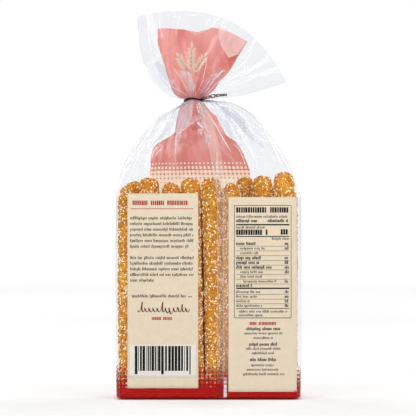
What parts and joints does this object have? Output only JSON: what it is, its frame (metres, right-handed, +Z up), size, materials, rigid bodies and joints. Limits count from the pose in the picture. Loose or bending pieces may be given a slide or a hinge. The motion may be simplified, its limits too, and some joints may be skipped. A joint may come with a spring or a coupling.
{
  "type": "pack of grissini breadsticks",
  "caption": "Standing clear film bag of sesame breadsticks with printed panels and a red base, gathered at a neck by a twist tie under a fanned film tail.",
  "frame": {"origin": "centre of the flat base the pack stands on", "axes": "+Z up along the breadsticks to the tail; -Y is the side with the back seam and the two small panels, +Y the display side; +X to the right seen from the seam side"},
  "size_m": [0.129, 0.046, 0.2732],
  "materials": {
    "clear_film": "clear glossy film",
    "tie_strip": "satin black strip",
    "printed_film": "glossy print on film",
    "crust": "dry baked crust",
    "seed": "hulled sesame, slightly glossy"
  },
  "bodies": {
    "root": {"bag": "clear_film", "twist_tie": "tie_strip"}
  },
  "joints": []
}
